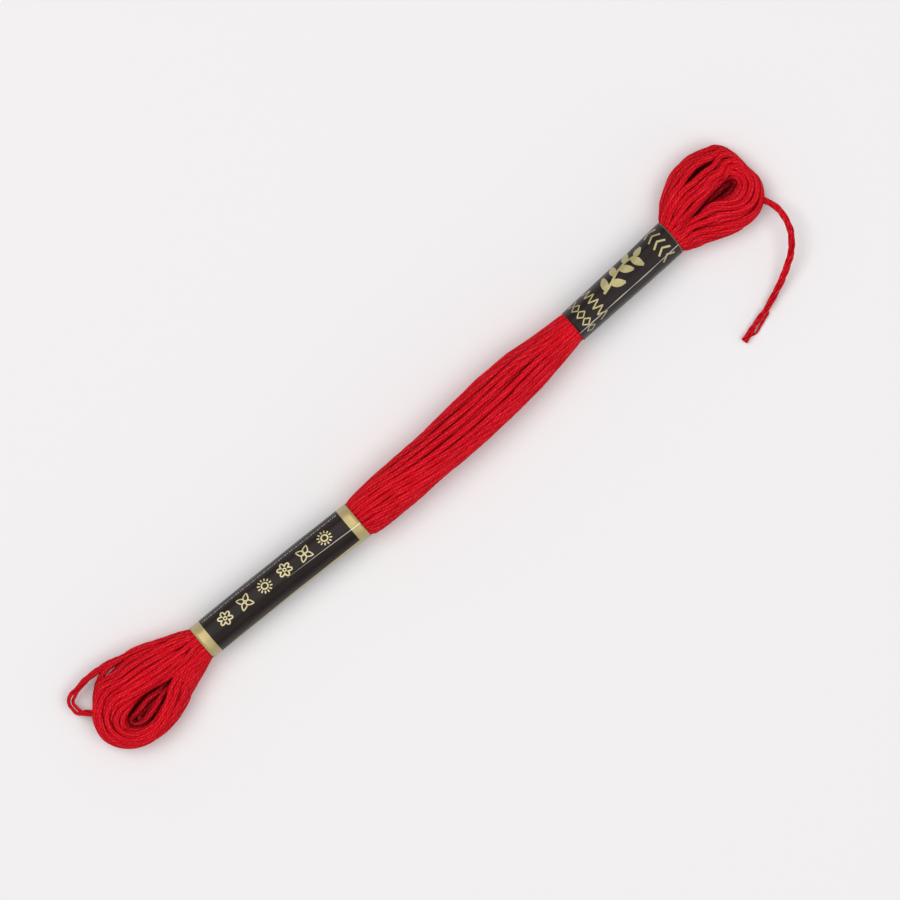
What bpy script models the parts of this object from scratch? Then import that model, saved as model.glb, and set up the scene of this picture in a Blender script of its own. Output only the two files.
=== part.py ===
"""Skein of six-strand embroidery floss, laid flat, gripped by two paper bands.

X runs along the skein, from the loop with the slack turn to the loop with the
loose end.  Y is left when looking along X, Z is up.  All tables are in
millimetres; the solids are moved at the end so that the origin is the centre
of the base of the skein and its bands.
"""
import math

import bmesh
import bpy
import numpy as np

MM = 0.001

FLOSS_D = 1.25          # one loose six-strand floss
BAND_WALL = 0.25        # paper of a band with its glue
RIDGES = 9              # turns that show round one leg, from its underside to the eye
POINTS_PER_RIDGE = 3
RIDGE_UP = 0.10         # a turn's top above the smooth form
RIDGE_DOWN = 0.16       # the groove between two turns below it
GRIPPED_RIDGE = 0.35    # share of these heights left under a band
EYE_LIP = 0.25          # drop from the foot of a leg to the floor of the eye
MEETING_GAP = 0.2       # half width of the groove where the two legs meet
CORNER_SHARE = 0.7      # rounding of the underside, as a share of a leg's width

# The grooves slant over a leg: how many turns they have moved towards its outline,
# from 0 at from_x to the full number at to_x.
SLANT_COLUMNS = ("from_x", "to_x", "left_turns", "right_turns")
SLANTS = (
    (-64.0, -77.0, 1.3, 1.3),
    (67.0, 78.0, 1.3, 1.3),
    (-17.0, 10.0, -1.0, 1.0),
    (38.0, 54.0, 1.0, -1.0),
)
# Where the turns part: groove counted from the underside, and its extra depth.
PARTING_COLUMNS = ("on_left", "groove", "from_x", "to_x", "depth")
PARTINGS = (
    (True, 5, -78.0, -56.0, 0.45),
    (True, 6, 65.0, 77.0, 0.8),
    (False, 7, 68.0, 78.0, 0.4),
    (False, 5, -17.0, 5.0, 0.3),
    (True, 6, -2.0, 12.0, 0.3),
)

FLOSS_RED = (0.53, 0.012, 0.02)
PAPER_BLACK = (0.022, 0.019, 0.022)

# One row per section of a loop, the tip first.  out = outline of a leg,
# in = its edge at the eye, crest / side / seat = heights of its top, its
# widest line and its underside, foot = height of its edge at the eye,
# crown = where the crest lies between the eye (0) and the outline (1).
LEFT_COLUMNS = ("left_out_x", "left_out_y", "left_in_x", "left_in_y")
RIGHT_COLUMNS = ("right_out_x", "right_out_y", "right_in_x", "right_in_y")
HEIGHT_COLUMNS = ("crest", "side", "seat", "foot", "crown")
LOOP_COLUMNS = LEFT_COLUMNS + RIGHT_COLUMNS + HEIGHT_COLUMNS + ("steps",)
SLACK_LOOP = (
    (-78.3, -2.4, -73.2, -4.9, -78.3, -2.4, -73.2, -4.9, 6.2, 3.0, 0.0, 2.6, 0.45, 2),
    (-78.0, -0.4, -73.1, -4.0, -78.0, -4.2, -73.0, -5.7, 6.2, 3.0, 0.0, 2.6, 0.45, 2),
    (-76.9, 1.8, -72.6, -3.4, -76.7, -6.4, -72.3, -6.2, 6.1, 3.0, 0.0, 2.6, 0.45, 2),
    (-75.0, 3.8, -71.6, -2.8, -74.7, -8.1, -71.4, -6.6, 5.9, 3.0, 0.0, 2.6, 0.43, 2),
    (-72.7, 5.7, -70.3, -2.4, -72.1, -9.2, -70.1, -6.8, 5.8, 3.0, 0.0, 2.6, 0.42, 2),
    (-69.9, 6.6, -68.6, -2.0, -69.5, -9.7, -68.4, -6.7, 5.8, 3.0, 0.0, 2.6, 0.40, 2),
    (-67.2, 6.7, -66.6, -2.0, -67.0, -9.6, -66.6, -6.2, 5.9, 3.0, 0.0, 2.6, 0.38, 2),
    (-64.4, 6.2, -64.4, -2.4, -64.4, -9.0, -64.4, -5.3, 6.0, 3.0, 0.0, 2.9, 0.34, 2),
    (-61.7, 5.4, -61.7, -2.9, -61.7, -8.0, -61.7, -4.2, 6.1, 3.1, 0.0, 3.7, 0.28, 2),
    (-58.9, 4.3, -58.9, -2.9, -58.9, -6.9, -58.9, -3.5, 6.3, 3.2, 0.0, 4.8, 0.20, 2),
    (-56.7, 3.5, -56.7, -2.6, -56.7, -6.1, -56.7, -3.0, 6.5, 3.3, 0.0, 5.7, 0.08, 1),
    (-54.9, 2.7, -54.9, -2.2, -54.9, -5.4, -54.9, -2.6, 6.7, 3.5, 0.2, 6.0, 0.04, 1),
)
LOOSE_END_LOOP = (
    (79.7, -1.5, 75.9, 0.4, 79.7, -1.5, 75.9, 0.4, 6.4, 3.1, 0.0, 2.6, 0.45, 2),
    (79.4, 1.5, 75.9, 0.7, 79.5, -2.9, 75.8, 0.0, 6.4, 3.1, 0.0, 2.6, 0.45, 2),
    (79.0, 4.4, 75.7, 1.0, 78.8, -4.3, 75.4, -0.3, 6.4, 3.1, 0.0, 2.6, 0.45, 2),
    (78.0, 6.8, 75.3, 1.2, 77.8, -5.6, 74.8, -0.6, 6.4, 3.1, 0.0, 2.6, 0.43, 2),
    (76.5, 8.4, 74.7, 1.5, 76.4, -6.6, 74.1, -0.8, 6.3, 3.0, 0.0, 2.6, 0.42, 2),
    (74.5, 9.2, 73.7, 1.6, 74.7, -7.1, 73.0, -0.8, 6.2, 3.0, 0.0, 2.6, 0.40, 2),
    (72.5, 9.7, 72.1, 1.5, 72.5, -7.2, 71.6, -0.7, 6.2, 3.0, 0.0, 2.6, 0.37, 2),
    (70.3, 9.6, 69.9, 1.2, 70.1, -6.9, 69.7, -0.5, 6.2, 3.0, 0.0, 2.7, 0.33, 2),
    (67.7, 9.2, 67.5, 0.8, 67.7, -6.1, 67.7, -0.3, 6.3, 3.0, 0.0, 3.4, 0.28, 2),
    (65.3, 8.1, 65.1, 0.5, 65.3, -5.2, 65.5, -0.2, 6.4, 3.0, 0.0, 4.2, 0.22, 2),
    (63.1, 6.7, 63.0, 0.4, 63.1, -4.5, 63.1, -0.2, 6.5, 3.1, 0.0, 5.0, 0.15, 1),
    (61.2, 4.6, 61.2, 0.3, 61.2, -3.7, 61.2, -0.1, 6.5, 3.2, 0.2, 5.6, 0.06, 1),
)
# The straight part: both legs side by side, meeting along meet_y.
# Columns: x, left_y, right_y, meet_y, crest, side, seat, steps.
STRAIGHT = (
    (-54.1, 2.2, -5.1, -2.2, 6.9, 3.6, 0.3, 1),
    (-53.4, 1.4, -4.4, -2.2, 6.3, 3.6, 0.9, 2),
    (-44.3, 1.3, -4.6, -2.3, 6.3, 3.6, 0.9, 2),
    (-35.1, 1.1, -4.9, -2.3, 6.4, 3.6, 0.9, 2),
    (-26.0, 0.9, -5.3, -2.3, 6.4, 3.6, 0.9, 2),
    (-16.5, 0.6, -5.8, -2.3, 6.5, 3.6, 0.9, 1),
    (-15.8, 1.3, -6.7, -2.3, 7.1, 3.7, 0.4, 1),
    (-12.8, 1.7, -7.0, -2.4, 7.6, 3.8, 0.0, 2),
    (-5.9, 2.0, -7.0, -2.6, 8.0, 3.9, 0.0, 3),
    (1.5, 2.1, -6.8, -2.7, 8.1, 3.9, 0.0, 3),
    (8.8, 2.7, -6.8, -2.6, 8.1, 3.9, 0.0, 3),
    (16.1, 3.2, -6.5, -2.3, 8.1, 3.9, 0.0, 3),
    (23.4, 3.3, -5.9, -1.9, 8.0, 3.9, 0.0, 3),
    (29.8, 2.6, -4.9, -1.5, 7.8, 3.9, 0.1, 2),
    (35.0, 2.3, -4.0, -1.0, 7.5, 3.9, 0.4, 1),
    (35.7, 1.7, -3.4, -0.9, 6.9, 3.9, 1.1, 2),
    (43.6, 2.1, -3.2, -0.7, 6.7, 3.7, 1.0, 2),
    (51.8, 2.5, -3.0, -0.5, 6.4, 3.5, 0.8, 2),
    (60.4, 3.1, -2.7, 0.0, 6.1, 3.3, 0.65, 1),
)
FOOT_BELOW_CREST = 0.55     # depth of the meeting groove on the straight part
STRAIGHT_CROWN = 0.03       # there the crest lies close to the meeting line

# The places out_x, out_y, in_x and in_y may pass their table rows by a little.
IN_PLAN = np.array((1, 1, 1, 1, 0, 0, 0, 0, 0))
PLAN_SLACK = 0.12           # as a share of the step between two rows

# The one slack turn that stands off the loop.  Columns: x, y, z of its centreline.
SLACK_TURN = (
    (-65.5, 5.2, 3.2),
    (-67.6, 6.4, 3.2),
    (-70.0, 6.95, 3.1),
    (-72.8, 7.1, 2.9),
    (-75.6, 6.9, 2.6),
    (-77.7, 6.35, 2.3),
    (-79.1, 5.4, 2.1),
    (-79.3, 4.1, 2.1),
    (-78.6, 2.9, 2.4),
    (-77.6, 1.9, 2.8),
    (-76.2, 0.9, 3.2),
)

# The loose end: it leaves the loop half way up and comes down to the table.
# Columns: x, y, z of its centreline.
LOOSE_END = (
    (77.95, -6.2, 3.7),
    (78.5, -7.7, 4.1),
    (78.6, -9.5, 4.4),
    (78.3, -11.4, 4.5),
    (77.6, -13.2, 4.3),
    (76.4, -14.9, 3.9),
    (74.9, -16.4, 3.4),
    (72.4, -18.0, 2.6),
    (69.5, -19.5, 1.75),
    (66.0, -20.9, 1.0),
    (62.4, -22.0, 0.68),
    (58.6, -23.0, 0.66),
)
LOOSE_END_POINTS = 15

# Paper bands, a row per section: sides, top and bottom of the paper tube.
# Columns: x, left_y, right_y, top, bottom.
LONG_BAND = (
    (-53.2, 2.0, -5.0, 6.9, 0.3),
    (-44.3, 1.9, -5.2, 6.9, 0.3),
    (-35.1, 1.7, -5.5, 7.0, 0.3),
    (-26.0, 1.5, -5.9, 7.0, 0.3),
    (-16.8, 1.2, -6.4, 7.1, 0.3),
)
SHORT_BAND = (
    (36.0, 2.3, -4.0, 7.5, 0.5),
    (43.6, 2.7, -3.8, 7.3, 0.4),
    (51.8, 3.1, -3.6, 7.0, 0.2),
    (60.1, 3.7, -3.3, 6.7, 0.05),
)
BAND_POINTS = 40            # points round a band
BAND_SQUARENESS = 2.25      # 2 is an ellipse, more is squarer
CREASE_H = 0.12             # how far a fold line stands out of the paper
CREASE_HALF_ANGLE = 14.0    # degrees each side of the fold line
LONG_CREASE = 96.0          # degrees from the left side round over the top
SHORT_CREASE = 122.0
SHORT_BAND_LEAN = 0.16      # the short band tips forward by this slope


def remove_everything():
    for obj in list(bpy.data.objects):
        bpy.data.objects.remove(obj, do_unlink=True)


def make_material(name, colour, roughness, sheen):
    material = bpy.data.materials.new(name)
    material.use_nodes = True
    shader = material.node_tree.nodes["Principled BSDF"]
    shader.inputs["Base Color"].default_value = (*colour, 1.0)
    shader.inputs["Roughness"].default_value = roughness
    shader.inputs["Metallic"].default_value = 0.0
    shader.inputs["Sheen Weight"].default_value = sheen
    material.diffuse_color = (*colour, 1.0)
    return material


def object_from_bmesh(name, bm, material):
    bmesh.ops.recalc_face_normals(bm, faces=bm.faces)
    if bm.calc_volume(signed=True) < 0:
        bmesh.ops.reverse_faces(bm, faces=bm.faces)
    for face in bm.faces:
        face.smooth = True
    mesh = bpy.data.meshes.new(name)
    bm.to_mesh(mesh)
    bm.free()
    mesh.materials.append(material)
    obj = bpy.data.objects.new(name, mesh)
    bpy.context.scene.collection.objects.link(obj)
    return obj


def named(columns, row):
    return dict(zip(columns, row))


def between(rows, index, share):
    """Catmull-Rom interpolation in a closed ring of rows."""
    count = len(rows)
    before, first, second, after = (rows[(index + k) % count] for k in (-1, 0, 1, 2))
    smooth = 0.5 * (2 * first + (second - before) * share
                    + (2 * before - 5 * first + 4 * second - after) * share ** 2
                    + (3 * first - before - 3 * second + after) * share ** 3)
    low = np.minimum(first, second)
    high = np.maximum(first, second)
    slack = PLAN_SLACK * (high - low) * IN_PLAN
    return np.clip(smooth, low - slack, high + slack)


def share_of(x, start, end):
    """0 before start, 1 past end, smooth between them."""
    share = min(max((x - start) / (end - start), 0.0), 1.0)
    return share * share * (3.0 - 2.0 * share)


def slanted(x, on_left, turn):
    """Place of a groove or ridge on a leg at x, in turns from the underside."""
    moved = 0.0
    for row in SLANTS:
        slant = named(SLANT_COLUMNS, row)
        side = slant["left_turns"] if on_left else slant["right_turns"]
        moved += side * share_of(x, slant["from_x"], slant["to_x"])
    return turn - moved * math.sin(math.pi * turn / RIDGES)


def groove_lift(x, on_left, turn, gripped):
    """Height of the wound surface over the smooth form; a whole turn is a groove."""
    lift = -RIDGE_DOWN if turn == int(turn) else RIDGE_UP
    lift *= GRIPPED_RIDGE if gripped else 1.0
    for row in PARTINGS:
        parting = named(PARTING_COLUMNS, row)
        if parting["on_left"] != on_left or not parting["from_x"] < x < parting["to_x"]:
            continue
        share = (x - parting["from_x"]) / (parting["to_x"] - parting["from_x"])
        if turn == parting["groove"]:
            lift -= parting["depth"] * math.sin(math.pi * share)
    return lift


def ring_of_rows():
    """All sections as rows (out_x, out_y, in_x, in_y, crest, side, seat, foot, crown),
    going up the left leg, round the far tip and back down the right leg."""
    left = []
    right = []
    steps = []

    def add_loop_section(row):
        section = named(LOOP_COLUMNS, row)
        left.append([section[name] for name in LEFT_COLUMNS + HEIGHT_COLUMNS])
        right.append([section[name] for name in RIGHT_COLUMNS + HEIGHT_COLUMNS])
        steps.append(section["steps"])

    for row in SLACK_LOOP:
        add_loop_section(row)
    for x, left_y, right_y, meet_y, crest, side, seat, count in STRAIGHT:
        heights = [crest, side, seat, crest - FOOT_BELOW_CREST, STRAIGHT_CROWN]
        left.append([x, left_y, x, meet_y + MEETING_GAP] + heights)
        right.append([x, right_y, x, meet_y - MEETING_GAP] + heights)
        steps.append(count)
    for row in reversed(LOOSE_END_LOOP):
        add_loop_section(row)
    steps = steps[:-1]
    ring = left + right[-2:0:-1]
    ring_steps = steps + steps[::-1]
    return [np.array(row, dtype=float) for row in ring], ring_steps, sum(steps)


def leg_section(row, on_left, gripped):
    """Points over one leg, each a share of the way from the eye to the outline and a
    height, from the edge of the flat underside round the outline to the eye."""
    out_x, out_y, in_x, in_y, crest, side, seat, foot, crown = row
    width = math.hypot(out_x - in_x, out_y - in_y)
    corner = min(CORNER_SHARE * width, side - seat)
    turn = np.radians(np.linspace(0.0, 90.0, 40))
    under_y = width - corner + corner * np.sin(turn)
    under_z = side - (side - seat) * np.cos(turn)
    outer_y = crown * width + (1.0 - crown) * width * np.cos(turn[1:])
    outer_z = side + (crest - side) * np.sin(turn[1:])
    inner_y = crown * width * (1.0 - np.sin(turn[1:]))
    inner_z = foot + (crest - foot) * np.cos(turn[1:])
    path = np.column_stack((np.concatenate((under_y, outer_y, inner_y)),
                            np.concatenate((under_z, outer_z, inner_z))))
    step = np.hypot(*np.diff(path, axis=0).T)
    length = np.append(0.0, np.cumsum(step))
    tangent = np.gradient(path, axis=0)
    tangent /= np.maximum(np.hypot(tangent[:, 0], tangent[:, 1]), 1e-9)[:, None]
    normal = np.column_stack((tangent[:, 1], -tangent[:, 0]))
    points = [(path[0, 0] / width, seat)]
    for k in range(1, RIDGES * POINTS_PER_RIDGE):
        turn = k / POINTS_PER_RIDGE
        at = slanted(out_x, on_left, turn) / RIDGES * length[-1]
        along, z = [np.interp(at, length, path[:, axis]) for axis in (0, 1)]
        push = [np.interp(at, length, normal[:, axis]) for axis in (0, 1)]
        lift = groove_lift(out_x, on_left, turn, gripped)
        points.append(((along + lift * push[0]) / width, max(z + lift * push[1], seat)))
    points.append((path[-1, 0] / width, path[-1, 1]))
    return points


def is_gripped(x):
    return any(rows[0][0] - 0.4 < x < rows[-1][0] + 0.5 for rows in (LONG_BAND, SHORT_BAND))


def make_hank(material):
    rows, steps, tip = ring_of_rows()
    stations = []
    for index, count in enumerate(steps):
        for k in range(count):
            stations.append(between(rows, index, k / count))
    bm = bmesh.new()
    ring = []
    for number, row in enumerate(stations):
        out_x, out_y, in_x, in_y = row[:4]
        points = []
        for share, z in leg_section(row, number <= tip, is_gripped(out_x)):
            x = in_x + (out_x - in_x) * share
            y = in_y + (out_y - in_y) * share
            points.append(bm.verts.new((x * MM, y * MM, z * MM)))
        ring.append(points)

    last = len(stations)
    valley = []
    base = []
    for k in range(tip + 1):
        left = stations[k]
        right = stations[(last - k) % last]
        x = (left[2] + right[2]) / 2
        y = (left[3] + right[3]) / 2
        if k in (0, tip):
            inward = stations[1] if k == 0 else stations[tip - 1]
            inward_right = stations[last - 1] if k == 0 else stations[tip + 1]
            x = 0.4 * x + 0.3 * (inward[2] + inward_right[2])
            y = 0.4 * y + 0.3 * (inward[3] + inward_right[3])
        valley.append(bm.verts.new((x * MM, y * MM, (left[7] - EYE_LIP) * MM)))
        base.append(bm.verts.new((x * MM, y * MM, left[6] * MM)))

    for k in range(tip):
        for here, there in ((k, k + 1), ((last - k) % last, last - k - 1)):
            for a, b in zip(range(len(ring[0]) - 1), range(1, len(ring[0]))):
                bm.faces.new((ring[here][a], ring[here][b], ring[there][b], ring[there][a]))
            bm.faces.new((ring[here][-1], valley[k], valley[k + 1], ring[there][-1]))
            bm.faces.new((base[k], ring[here][0], ring[there][0], base[k + 1]))
    bmesh.ops.triangulate(bm, faces=bm.faces)
    return object_from_bmesh("floss_hank", bm, material)


def make_round_cord(name, route, radius, points, material):
    """A round cord through the route, as a curve with a point every few diameters."""
    line = [np.array(p, dtype=float) for p in route]
    line.insert(0, 2 * line[0] - line[1])
    line.append(2 * line[-1] - line[-2])
    spans = len(line) - 3
    fine = []
    for k in range(spans):
        before, first, second, after = line[k:k + 4]
        for share in np.linspace(0.0, 1.0, 12, endpoint=(k == spans - 1)):
            fine.append(0.5 * (2 * first + (second - before) * share
                               + (2 * before - 5 * first + 4 * second - after) * share ** 2
                               + (3 * first - before - 3 * second + after) * share ** 3))
    fine = np.array(fine)
    length = np.append(0.0, np.cumsum(np.linalg.norm(np.diff(fine, axis=0), axis=1)))
    curve = bpy.data.curves.new(name, "CURVE")
    curve.dimensions = "3D"
    curve.bevel_depth = radius * MM
    curve.bevel_resolution = 2
    curve.render_resolution_u = 0
    curve.use_fill_caps = True
    spline = curve.splines.new("POLY")
    spline.points.add(points - 1)
    for k in range(points):
        at = length[-1] * k / (points - 1)
        place = [np.interp(at, length, fine[:, axis]) * MM for axis in range(3)]
        spline.points[k].co = (*place, 1.0)
    spline.use_smooth = True
    curve.materials.append(material)
    obj = bpy.data.objects.new(name, curve)
    bpy.context.scene.collection.objects.link(obj)
    return obj


def add_slack_turn(hank, material):
    """Join the slack turn to the hank, as it is one more turn of the same floss."""
    cord = make_round_cord("slack_turn_shape", SLACK_TURN, FLOSS_D / 2, 22, material)
    bpy.context.view_layer.update()
    graph = bpy.context.evaluated_depsgraph_get()
    mesh = bpy.data.meshes.new_from_object(cord.evaluated_get(graph))
    bpy.data.objects.remove(cord, do_unlink=True)
    turn = bpy.data.objects.new("slack_turn_shape", mesh)
    bpy.context.scene.collection.objects.link(turn)
    turn.hide_render = True
    turn.display_type = "WIRE"
    union = hank.modifiers.new("slack_turn", "BOOLEAN")
    union.operation = "UNION"
    union.solver = "EXACT"
    union.object = turn
    bpy.context.view_layer.update()
    graph = bpy.context.evaluated_depsgraph_get()
    joined = bpy.data.meshes.new_from_object(hank.evaluated_get(graph))
    hank.modifiers.clear()
    hank.data = joined
    bpy.data.objects.remove(turn, do_unlink=True)
    bm = bmesh.new()
    bm.from_mesh(joined)
    bmesh.ops.triangulate(bm, faces=bm.faces)
    bmesh.ops.dissolve_degenerate(bm, edges=bm.edges, dist=0.00002)
    bmesh.ops.triangulate(bm, faces=bm.faces)
    for face in bm.faces:
        face.smooth = True
    bm.to_mesh(joined)
    bm.free()


def band_radius(angle, half_width, half_height, crease_angle):
    """Distance from the middle of a band to its paper, in the direction of angle."""
    across = abs(math.cos(angle)) / half_width
    upward = abs(math.sin(angle)) / half_height
    power = BAND_SQUARENESS
    radius = (across ** power + upward ** power) ** (-1.0 / power)
    away = abs(math.degrees(angle) - crease_angle) / CREASE_HALF_ANGLE
    return radius + CREASE_H * max(0.0, 1.0 - away)


def make_band(name, table, crease_angle, lean, material):
    bm = bmesh.new()
    outer = []
    inner = []
    for x, left_y, right_y, top, bottom in table:
        middle_y = (left_y + right_y) / 2
        middle_z = (top + bottom) / 2
        half_width = (left_y - right_y) / 2
        half_height = (top - bottom) / 2
        rings = ([], [])
        for k in range(BAND_POINTS):
            angle = 2 * math.pi * k / BAND_POINTS + math.radians(crease_angle)
            angle %= 2 * math.pi
            radius = band_radius(angle, half_width, half_height, crease_angle)
            for ring, wall in zip(rings, (0.0, BAND_WALL)):
                y = middle_y + (radius - wall) * math.cos(angle)
                rise = (radius - wall) * math.sin(angle)
                place = (x + lean * rise, y, middle_z + rise)
                ring.append(bm.verts.new([value * MM for value in place]))
        outer.append(rings[0])
        inner.append(rings[1])
    for k in range(BAND_POINTS):
        n = (k + 1) % BAND_POINTS
        for rings in (outer, inner):
            for here, there in zip(rings, rings[1:]):
                bm.faces.new((here[k], here[n], there[n], there[k]))
        for end in (0, -1):
            bm.faces.new((outer[end][k], outer[end][n], inner[end][n], inner[end][k]))
    return object_from_bmesh(name, bm, material)


def centre_on_base(solids, cord):
    """Put the origin at the centre of the base of everything but the cord."""
    low = np.full(3, np.inf)
    high = np.full(3, -np.inf)
    for obj in solids:
        for vertex in obj.data.vertices:
            low = np.minimum(low, vertex.co)
            high = np.maximum(high, vertex.co)
    shift = np.array(((low[0] + high[0]) / 2, (low[1] + high[1]) / 2, low[2]))
    for obj in solids:
        for vertex in obj.data.vertices:
            vertex.co = [vertex.co[axis] - shift[axis] for axis in range(3)]
    for point in cord.data.splines[0].points:
        point.co = [point.co[axis] - shift[axis] for axis in range(3)] + [1.0]
    print("shift in mm", [round(float(value) / MM, 4) for value in shift])


def main():
    remove_everything()
    floss = make_material("red_floss", FLOSS_RED, 0.7, 0.3)
    end = make_material("red_floss_end", FLOSS_RED, 0.7, 0.3)
    long_paper = make_material("long_band_paper", PAPER_BLACK, 0.45, 0.0)
    short_paper = make_material("short_band_paper", PAPER_BLACK, 0.45, 0.0)
    hank = make_hank(floss)
    add_slack_turn(hank, floss)
    long_band = make_band("long_band", LONG_BAND, LONG_CREASE, 0.0, long_paper)
    short_band = make_band("short_band", SHORT_BAND, SHORT_CREASE, SHORT_BAND_LEAN, short_paper)
    cord = make_round_cord("loose_end", LOOSE_END, FLOSS_D / 2, LOOSE_END_POINTS, end)
    centre_on_base([hank, long_band, short_band], cord)


main()
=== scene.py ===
"""Skein of embroidery floss: the wound turns, paper bands and loose end in detail."""
import math

import bmesh
import bpy
import numpy as np
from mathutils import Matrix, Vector


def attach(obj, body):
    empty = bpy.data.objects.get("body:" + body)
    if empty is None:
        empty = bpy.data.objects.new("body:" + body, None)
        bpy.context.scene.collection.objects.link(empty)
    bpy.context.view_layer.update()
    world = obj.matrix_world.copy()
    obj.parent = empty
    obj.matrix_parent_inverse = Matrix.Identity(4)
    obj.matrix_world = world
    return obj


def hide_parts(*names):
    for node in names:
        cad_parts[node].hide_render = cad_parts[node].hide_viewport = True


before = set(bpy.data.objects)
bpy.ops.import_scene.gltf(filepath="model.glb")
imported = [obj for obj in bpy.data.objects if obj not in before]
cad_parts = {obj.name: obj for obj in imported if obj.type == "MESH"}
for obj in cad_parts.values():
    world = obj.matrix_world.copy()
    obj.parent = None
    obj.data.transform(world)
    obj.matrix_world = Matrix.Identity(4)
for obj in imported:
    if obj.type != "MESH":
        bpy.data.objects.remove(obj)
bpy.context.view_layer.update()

MM = 0.001
SHIFT = np.array((0.079, 0.0167, 0.0))      # from the frame of the tables to the CAD's
RANDOM = np.random.default_rng(7)

# -------- named sizes, mm
LOOSE_R = 0.615         # radius of a floss in the loops
PRESSED_R = 0.55        # the same on the straight part
SURFACE_R = 0.62        # where a floss shows on the straight part
HIDDEN_R = 0.47         # below those
GRIPPED_R = 0.47        # under a band
SPACING = 0.8           # between sections, and between the points of a turn that settles
STEP = 0.55             # length of one mesh ring
INNER_STEP = 0.8        # the same on turns that hardly show
AROUND = 18             # corners round a floss
STRAND_AROUND = 10      # corners round a single strand
LOBE_DEPTH = 0.12       # hollows between strands, as a share of the radius
TWIST_PITCH = 23.0      # length of one turn of the six strands
BUNDLE_TWIST = 28.0     # degrees that the bundle turns between the bands
PAPER = 0.12            # thickness of the paper

# -------- skein tables, mm
# left_out_x, left_out_y, left_in_x, left_in_y, right_out_x, right_out_y,
# right_in_x, right_in_y, crest, side, seat, foot, crown
SLACK_LOOP = (
    (-78.3, -2.4, -73.2, -4.9, -78.3, -2.4, -73.2, -4.9, 6.2, 3.0, 0.0, 2.6, 0.45),
    (-78.0, -0.4, -73.1, -4.0, -78.0, -4.2, -73.0, -5.7, 6.2, 3.0, 0.0, 2.6, 0.45),
    (-76.9, 1.8, -72.6, -3.4, -76.7, -6.4, -72.3, -6.2, 6.1, 3.0, 0.0, 2.6, 0.45),
    (-75.0, 3.8, -71.6, -2.8, -74.7, -8.1, -71.4, -6.6, 5.9, 3.0, 0.0, 2.6, 0.43),
    (-72.7, 5.7, -70.3, -2.4, -72.1, -9.2, -70.1, -6.8, 5.8, 3.0, 0.0, 2.6, 0.42),
    (-69.9, 6.6, -68.6, -2.0, -69.5, -9.7, -68.4, -6.7, 5.8, 3.0, 0.0, 2.6, 0.40),
    (-67.2, 6.7, -66.6, -2.0, -67.0, -9.6, -66.6, -6.2, 5.9, 3.0, 0.0, 2.6, 0.38),
    (-64.4, 6.2, -64.4, -2.4, -64.4, -9.0, -64.4, -5.3, 6.0, 3.0, 0.0, 2.9, 0.34),
    (-61.7, 5.4, -61.7, -2.9, -61.7, -8.0, -61.7, -4.2, 6.1, 3.1, 0.0, 3.7, 0.28),
    (-58.9, 4.3, -58.9, -2.9, -58.9, -6.9, -58.9, -3.5, 6.3, 3.2, 0.0, 4.8, 0.20),
    (-56.7, 3.5, -56.7, -2.6, -56.7, -6.1, -56.7, -3.0, 6.5, 3.3, 0.0, 5.7, 0.08),
    (-54.9, 2.7, -54.9, -2.2, -54.9, -5.4, -54.9, -2.6, 6.7, 3.5, 0.2, 6.2, 0.04),
)
LOOSE_END_LOOP = (
    (79.7, -1.5, 75.9, 0.4, 79.7, -1.5, 75.9, 0.4, 6.4, 3.1, 0.0, 2.6, 0.45),
    (79.4, 1.5, 75.9, 0.7, 79.5, -2.9, 75.8, 0.0, 6.4, 3.1, 0.0, 2.6, 0.45),
    (79.0, 4.4, 75.7, 1.0, 78.8, -4.3, 75.4, -0.3, 6.4, 3.1, 0.0, 2.6, 0.45),
    (78.0, 6.8, 75.3, 1.2, 77.8, -5.6, 74.8, -0.6, 6.4, 3.1, 0.0, 2.6, 0.43),
    (76.5, 8.4, 74.7, 1.5, 76.4, -6.6, 74.1, -0.8, 6.3, 3.0, 0.0, 2.6, 0.42),
    (74.5, 9.2, 73.7, 1.6, 74.7, -7.1, 73.0, -0.8, 6.2, 3.0, 0.0, 2.6, 0.40),
    (72.5, 9.7, 72.1, 1.5, 72.5, -7.2, 71.6, -0.4, 6.2, 3.0, 0.0, 2.6, 0.37),
    (70.3, 9.6, 69.9, 1.2, 70.1, -6.9, 69.7, 0.5, 6.2, 3.0, 0.0, 2.7, 0.33),
    (67.7, 9.2, 67.5, 0.8, 67.7, -6.1, 67.7, 0.4, 6.3, 3.0, 0.0, 3.4, 0.28),
    (65.3, 8.1, 65.1, 0.5, 65.3, -5.2, 65.5, 0.2, 6.4, 3.0, 0.0, 4.2, 0.22),
    (63.1, 6.7, 63.0, 0.4, 63.1, -4.5, 63.1, -0.2, 6.5, 3.1, 0.0, 5.0, 0.15),
    (61.2, 4.6, 61.2, 0.3, 61.2, -3.7, 61.2, -0.1, 6.6, 3.2, 0.2, 5.8, 0.06),
)
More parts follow.
